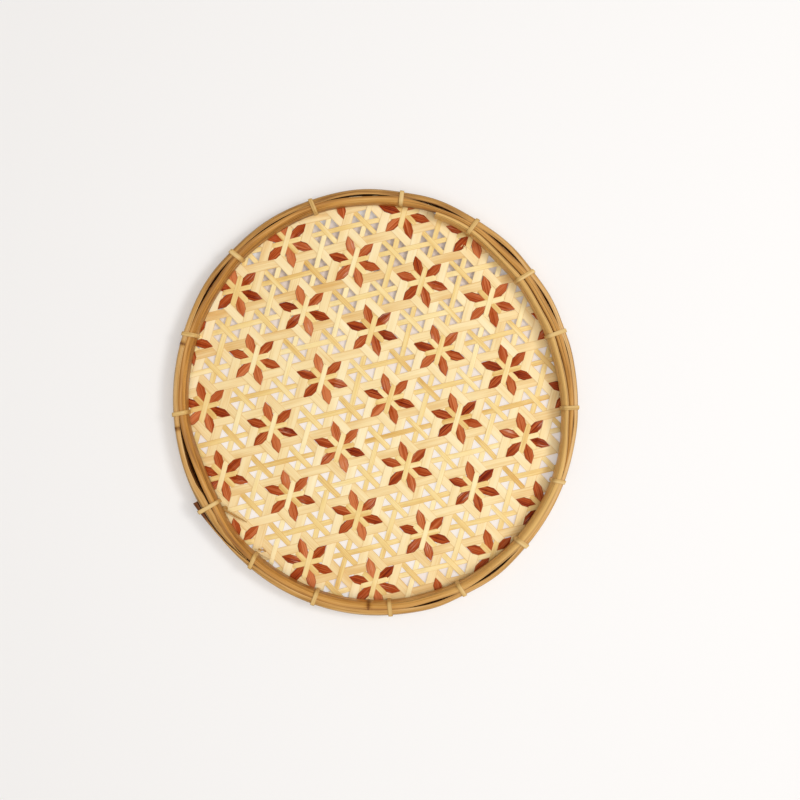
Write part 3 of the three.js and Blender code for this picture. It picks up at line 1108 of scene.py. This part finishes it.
for letter, repeat_step, next_line, dyed_step, next_dyed in SETS:
    way, repeat = unit(repeat_step)
    for number, origin in enumerate(lines(STAR, next_line, way, 0.5), 1):
        tone = WIDE_TONES[letter] + random.uniform(-WIDE_TONE_SPREAD, WIDE_TONE_SPREAD)
        width = WIDE_HALF * random.uniform(*WIDE_WIDTHS)
        piece = strip(
            origin,
            way,
            width,
            *WIDE_MESH,
            lambda at: wide_height(repeat, at),
            even_width,
            tone,
        )
        node = f"wide_strip_{letter}_{number:02d}"
        settle(piece, f"{node}_woven", [node, "mat_edge"], PALE)

    stops = narrow_stops(letter)
    for number, origin in enumerate(lines(STAR, next_line, way, 0), 1):
        tone = NARROW_TONES[letter] + random.uniform(-NARROW_TONE_SPREAD, NARROW_TONE_SPREAD)
        width = NARROW_HALF * random.uniform(*NARROW_WIDTHS)
        piece = strip(
            origin,
            way,
            width,
            *NARROW_MESH,
            lambda at: profile(stops, from_star(at, repeat, NARROW_REPEAT)),
            even_width,
            tone,
        )
        name = f"narrow_strip_{letter}_{number:02d}"
        settle(piece, name, ["narrow_strip_net"], YELLOW)

    way, repeat = unit(dyed_step)
    stops = dyed_stops(letter)
    for number, origin in enumerate(lines(STAR, next_dyed, way, 0), 1):
        tone = DYED_TONES[letter] + random.uniform(-DYED_TONE_SPREAD, DYED_TONE_SPREAD)
        width = DYED_HALF * random.uniform(*DYED_WIDTHS)
        piece = strip(
            origin,
            way,
            width,
            *DYED_MESH,
            lambda at: profile(stops, from_star(at, repeat, DYED_REPEAT)),
            lambda at: petal_width(repeat, at),
            tone,
            DYED_SHORT.get((letter, number), 0),
        )
        name = f"dyed_strip_{letter}_{number:02d}"
        settle(piece, name, ["dyed_strip_net"], DYED)


# The stage: a pale floor that runs into a pale backdrop, a soft lamp from the right, a larger one above,
# and even light all round.

BACKDROP = "#fbf5f0"
PAPER = "#f5f5f5"
# Under the mat and rim the paper's colour is a warm painted shade, and the glow seen there is painted
# light.
PAINTED_SHADE_UNDER_MAT = "#ead6c6"
PAINTED_GLOW_UNDER_MAT = "#fff9f2"

# Metres from the plate's middle over which the floor changes: inside the rim, under it, and far off.
MAT_TO_OPEN = (0.118, 0.138)
UNDER_RIM = (0.131, 0.14)
NEAR_TO_FAR = (0.6, 2.2)

# The share of plain white around the plate, near and far, and the share of a painted glow under the mat,
# from lower to upper Y.
WHITE_AROUND = (0.3, 1.0)
LOWER_TO_UPPER = (-0.03, 0.09)
PAINTED_GLOW_SHARE = (0.7, 0.12)


def looked_at(tree):
    """1 where a surface is seen, straight, mirrored or through another; 0 where it only sends light."""
    rays = add(tree, "ShaderNodeLightPath")
    straight = add(
        tree,
        "ShaderNodeMath",
        {0: rays.outputs["Is Camera Ray"], 1: rays.outputs["Is Glossy Ray"]},
        operation="ADD",
    )
    through = add(
        tree,
        "ShaderNodeMath",
        {0: straight.outputs[0], 1: rays.outputs["Is Transmission Ray"]},
        operation="ADD",
    )
    return through.outputs[0]


bpy.ops.object.select_all(action="DESELECT")
bpy.ops.mesh.primitive_plane_add(size=FLOOR_SIDE)
floor = bpy.context.object
floor.name = "floor"

# White paper: matt, and even away from the plate. Round the plate a part of what is seen of it is plain
# white, so that it is pale and still shows the shadow; far off it is all white, as the backdrop is. Under
# the mat and the rim its colour is a warm painted shade, standing in for light that has come through the
# strips, and under the mat a painted glow makes it whiter below the middle, where the mat lies close to
# it, than near the top.
paper = bpy.data.materials.new("floor_white_paper")
paper.use_nodes = True
tree = paper.node_tree
matt = tree.nodes["Principled BSDF"]
matt.inputs["Roughness"].default_value = 0.9
place = add(tree, "ShaderNodeTexCoord")
middle = add(tree, "ShaderNodeVectorMath", {0: place.outputs["Object"]}, operation="LENGTH")
open_air = add(
    tree,
    "ShaderNodeMapRange",
    {
        "Value": middle.outputs["Value"],
        "From Min": MAT_TO_OPEN[0],
        "From Max": MAT_TO_OPEN[1],
    },
    interpolation_type="SMOOTHSTEP",
)
past_rim = add(
    tree,
    "ShaderNodeMapRange",
    {
        "Value": middle.outputs["Value"],
        "From Min": UNDER_RIM[0],
        "From Max": UNDER_RIM[1],
    },
)
# Painted shade: the warm tint of the paper under the mat and rim.
paper_and_painted_shade = add(
    tree,
    "ShaderNodeMix",
    {0: past_rim.outputs["Result"], 6: linear(PAINTED_SHADE_UNDER_MAT), 7: linear(PAPER)},
    data_type="RGBA",
)
tree.links.new(paper_and_painted_shade.outputs[2], matt.inputs["Base Color"])
# The glow's colour: painted warm light under the mat, and the backdrop's white beyond it.
white = add(
    tree,
    "ShaderNodeMix",
    {0: open_air.outputs["Result"], 6: linear(PAINTED_GLOW_UNDER_MAT), 7: linear(BACKDROP)},
    data_type="RGBA",
)
lit = add(tree, "ShaderNodeEmission", {"Color": white.outputs[2], "Strength": 1.0})
apart = add(tree, "ShaderNodeSeparateXYZ", {"Vector": place.outputs["Object"]})
# Painted light: the glow under the mat, strong below the middle and weak near the top.
under = add(
    tree,
    "ShaderNodeMapRange",
    {
        "Value": apart.outputs["Y"],
        "From Min": LOWER_TO_UPPER[0],
        "From Max": LOWER_TO_UPPER[1],
        "To Min": PAINTED_GLOW_SHARE[0],
        "To Max": PAINTED_GLOW_SHARE[1],
    },
)
around = add(
    tree,
    "ShaderNodeMapRange",
    {
        "Value": middle.outputs["Value"],
        "From Min": NEAR_TO_FAR[0],
        "From Max": NEAR_TO_FAR[1],
        "To Min": WHITE_AROUND[0],
        "To Max": WHITE_AROUND[1],
    },
    interpolation_type="SMOOTHSTEP",
)
share = add(
    tree,
    "ShaderNodeMapRange",
    {
        "Value": open_air.outputs["Result"],
        "To Min": under.outputs["Result"],
        "To Max": around.outputs["Result"],
    },
)
seen = add(
    tree,
    "ShaderNodeMath",
    {0: looked_at(tree), 1: share.outputs["Result"]},
    operation="MULTIPLY",
)
both = add(
    tree,
    "ShaderNodeMixShader",
    {0: seen.outputs[0], 1: matt.outputs[0], 2: lit.outputs[0]},
)
tree.links.new(both.outputs[0], tree.nodes["Material Output"].inputs["Surface"])
floor.data.materials.append(paper)

# Each lamp: its name, place, side and power. It faces the middle of the plate.
LAMPS = [
    ("lamp_window", (1.1, 0.2, 1.75), 0.5, 14),
    ("lamp_above", (0.34, -0.18, 1.6), 1.4, 14.4),
]
for name, at, size, power in LAMPS:
    bpy.ops.object.light_add(type="AREA", location=at)
    lamp = bpy.context.object
    lamp.name = name
    lamp.data.shape = "SQUARE"
    lamp.data.size = size
    lamp.data.energy = power
    tilt = math.atan2(math.hypot(at[0], at[1]), at[2])
    lamp.rotation_euler = (0, tilt, math.atan2(at[1], at[0]))

world = bpy.data.worlds.new("studio")
world.use_nodes = True
tree = world.node_tree
light = tree.nodes["Background"]
light.inputs["Color"].default_value = (1, 0.965, 0.93, 1)
light.inputs["Strength"].default_value = 0.34
backdrop = add(tree, "ShaderNodeBackground", {"Color": linear(BACKDROP), "Strength": 1.0})
both = add(
    tree,
    "ShaderNodeMixShader",
    {0: looked_at(tree), 1: light.outputs[0], 2: backdrop.outputs[0]},
)
tree.links.new(both.outputs[0], tree.nodes["World Output"].inputs["Surface"])
bpy.context.scene.world = world

bpy.ops.object.camera_add(location=CAMERA_AT, rotation=(0, 0, 0))
camera = bpy.context.object
camera.data.sensor_width = SENSOR_MM
camera.data.lens = SENSOR_MM * (CAMERA_AT[2] - RIM_HEIGHT * MM) / PHOTO_SIDE
bpy.context.scene.camera = camera
bpy.context.scene.view_settings.view_transform = "Standard"
